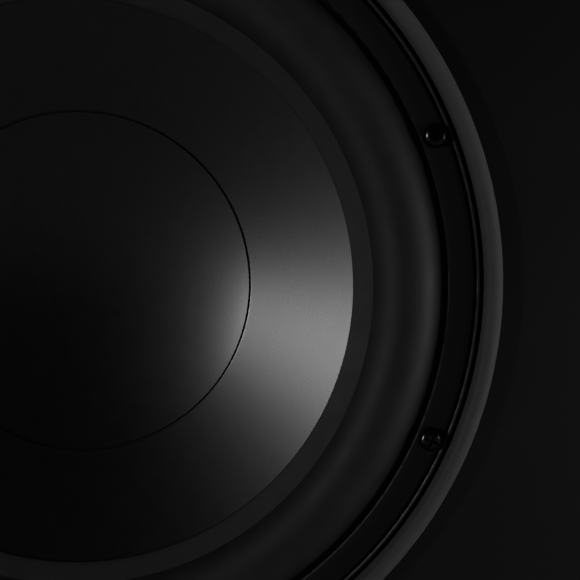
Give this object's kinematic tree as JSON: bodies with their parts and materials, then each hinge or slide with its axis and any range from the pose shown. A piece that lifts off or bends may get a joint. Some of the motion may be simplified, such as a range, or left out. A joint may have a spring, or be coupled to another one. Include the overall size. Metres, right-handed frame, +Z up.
{
  "type": "subwoofer cabinet",
  "caption": "Sealed front-firing powered subwoofer: satin black cabinet on rubber feet, concave-capped woofer in a rubber trim ring, plate amplifier with controls and sockets behind.",
  "frame": {"origin": "on the floor, under the middle of the whole object's box", "axes": "+Z up; the driver's axis runs along Y and the baffle faces -Y; +X is to the right seen from the front"},
  "size_m": [0.41, 0.4576, 0.43],
  "materials": {
    "satin_black_paint": "satin",
    "raw_fibreboard": "matte",
    "polyester_wadding": "matte",
    "trim_rubber": "matte",
    "clamp_ring_plastic": "satin",
    "blackened_steel": "satin",
    "machined_brass": "satin",
    "foam_rubber": "matte",
    "coated_cast_aluminium": "satin",
    "zinc_plated_steel": "satin",
    "ferrite": "matte",
    "boot_rubber": "matte",
    "bare_aluminium": "satin",
    "spider_cloth": "matte",
    "surround_rubber": "matte",
    "coated_pulp": "satin",
    "copper_winding": "satin",
    "tinned_braid": "satin",
    "fibre_board": "matte",
    "red_insulation": "satin",
    "black_insulation": "satin",
    "black_anodised_aluminium": "satin",
    "powder_coated_plate": "matte",
    "black_abs": "matte",
    "circuit_board": "satin",
    "capacitor_sleeve": "gloss",
    "moulded_epoxy": "matte",
    "winding_tape": "satin",
    "knob_plastic": "satin",
    "nickel_plate": "polished",
    "socket_plastic": "satin",
    "mains_nylon": "satin",
    "fuse_glass": "gloss",
    "light_lens": "gloss",
    "foot_rubber": "matte"
  },
  "bodies": {
    "cabinet": {"front_baffle": "satin_black_paint", "left_panel": "satin_black_paint", "right_panel": "satin_black_paint", "top_panel": "satin_black_paint", "bottom_panel": "satin_black_paint", "back_panel": "satin_black_paint", "window_brace": "raw_fibreboard", "wall_wadding": "polyester_wadding", "trim_ring": "trim_rubber", "clamp_ring": "clamp_ring_plastic", "driver_screws": "blackened_steel", "threaded_inserts": "machined_brass", "driver_seal": "foam_rubber", "basket": "coated_cast_aluminium", "top_plate": "zinc_plated_steel", "magnet_rings": "ferrite", "yoke": "zinc_plated_steel", "magnet_boot": "boot_rubber", "motor_screws": "zinc_plated_steel", "shorting_ring": "bare_aluminium", "spider": "spider_cloth", "surround": "surround_rubber", "tinsel_lead_left": "tinned_braid", "tinsel_lead_right": "tinned_braid", "terminal_board": "fibre_board", "terminal_lugs": "tinned_braid", "speaker_wire_red": "red_insulation", "speaker_wire_black": "black_insulation", "amp_plate": "powder_coated_plate", "heat_sink": "black_anodised_aluminium", "amp_gasket": "foam_rubber", "amp_screws": "blackened_steel", "amp_box": "black_abs", "main_board": "circuit_board", "control_board": "circuit_board", "toroid": "winding_tape", "toroid_clamp": "zinc_plated_steel", "capacitors": "capacitor_sleeve", "power_transistors": "moulded_epoxy", "control_pots": "zinc_plated_steel", "switch_bodies": "zinc_plated_steel", "mains_module": "mains_nylon", "inlet_pins": "nickel_plate", "phono_shells": "nickel_plate", "phono_inserts": "socket_plastic", "speaker_input": "black_abs", "status_light": "light_lens", "feet": "foot_rubber", "foot_screws": "zinc_plated_steel"},
    "cone_assembly": {"cone": "coated_pulp", "dust_cap": "coated_pulp", "coil_former": "bare_aluminium", "voice_coil": "copper_winding"},
    "level_dial": {"level_knob": "knob_plastic"},
    "crossover_dial": {"crossover_knob": "knob_plastic"},
    "phase_switch": {"phase_slider": "knob_plastic"},
    "mode_switch": {"mode_slider": "knob_plastic"},
    "rocker": {"power_rocker": "mains_nylon"},
    "fuse_carrier": {"fuse_drawer": "mains_nylon", "fuse": "fuse_glass"}
  },
  "joints": [
    {"name": "cone_slide", "type": "slide", "parent": "cabinet", "child": "cone_assembly", "axis": [0, 1, 0], "range_m": [-0.012, 0.012], "stiffness_N_per_m": 3000, "deforming": ["surround", "spider", "tinsel_lead_left", "tinsel_lead_right"]},
    {"name": "level_turn", "type": "hinge", "parent": "cabinet", "child": "level_dial", "pos_m": [-0.088, 0.21175, 0.237], "axis": [0, 1, 0], "range_deg": [-150, 150]},
    {"name": "crossover_turn", "type": "hinge", "parent": "cabinet", "child": "crossover_dial", "pos_m": [-0.05, 0.21175, 0.237], "axis": [0, 1, 0], "range_deg": [-150, 150]},
    {"name": "phase_slide", "type": "slide", "parent": "cabinet", "child": "phase_switch", "axis": [1, 0, 0], "range_m": [0, 0.003]},
    {"name": "mode_slide", "type": "slide", "parent": "cabinet", "child": "mode_switch", "axis": [1, 0, 0], "range_m": [0, 0.003]},
    {"name": "rocker_swing", "type": "hinge", "parent": "cabinet", "child": "rocker", "pos_m": [0.075, 0.20175, 0.155], "axis": [0, 0, 1], "range_deg": [-20, 0]},
    {"name": "fuse_drawer_slide", "type": "slide", "parent": "cabinet", "child": "fuse_carrier", "axis": [0, 1, 0], "range_m": [0, 0.025]}
  ]
}
